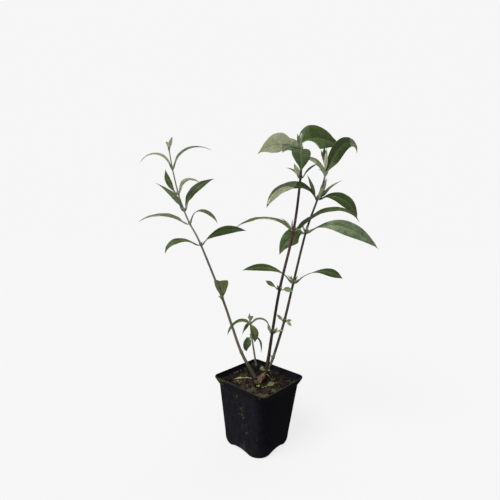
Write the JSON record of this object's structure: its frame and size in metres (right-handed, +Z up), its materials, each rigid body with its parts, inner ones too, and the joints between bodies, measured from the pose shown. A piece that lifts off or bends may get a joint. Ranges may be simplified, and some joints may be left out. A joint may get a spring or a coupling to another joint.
{
  "type": "potted butterfly bush",
  "caption": "Young butterfly bush in a square plastic nursery pot: long arching canes with pairs of narrow leaves at their joints, standing in compost; decorative garden or patio plant.",
  "frame": {"origin": "middle of the pot's flat underside, on the surface that it stands on", "axes": "+Z up; the pot's sides lie along X and Y; the picture looks along a line 41 degrees anticlockwise of +Y"},
  "size_m": [0.2833, 0.2025, 0.4359],
  "materials": {
    "pot_plastic": "black moulded plastic, satin, dusty with dried algae specks",
    "compost": "coarse moist bark compost, dark brown, matte",
    "old_bark": "old reddish-brown bark, flaking",
    "purple_bark": "smooth purple-brown bark of this year's canes",
    "grey_bark": "grey-brown felted bark",
    "foliage": "matte grey-green leaves, dark above and pale felted below"
  },
  "bodies": {
    "root": {"back_shoot": "grey_bark", "back_shoot_leaves": "foliage", "back_shoot_top": "foliage", "left_cane": "grey_bark", "left_leaves_1": "foliage", "left_leaves_2": "foliage", "left_leaves_3": "foliage", "left_leaves_4": "foliage", "left_leaves_5": "foliage", "left_top": "foliage", "middle_cane": "purple_bark", "middle_leaves_1": "foliage", "middle_leaves_2": "foliage", "middle_leaves_3": "foliage", "middle_leaves_4": "foliage", "middle_top": "foliage", "old_stump": "old_bark", "pot": "pot_plastic", "right_cane": "purple_bark", "right_leaves_1": "foliage", "right_leaves_2": "foliage", "right_leaves_3": "foliage", "right_leaves_4": "foliage", "right_top": "foliage", "soil": "compost"}
  },
  "joints": []
}
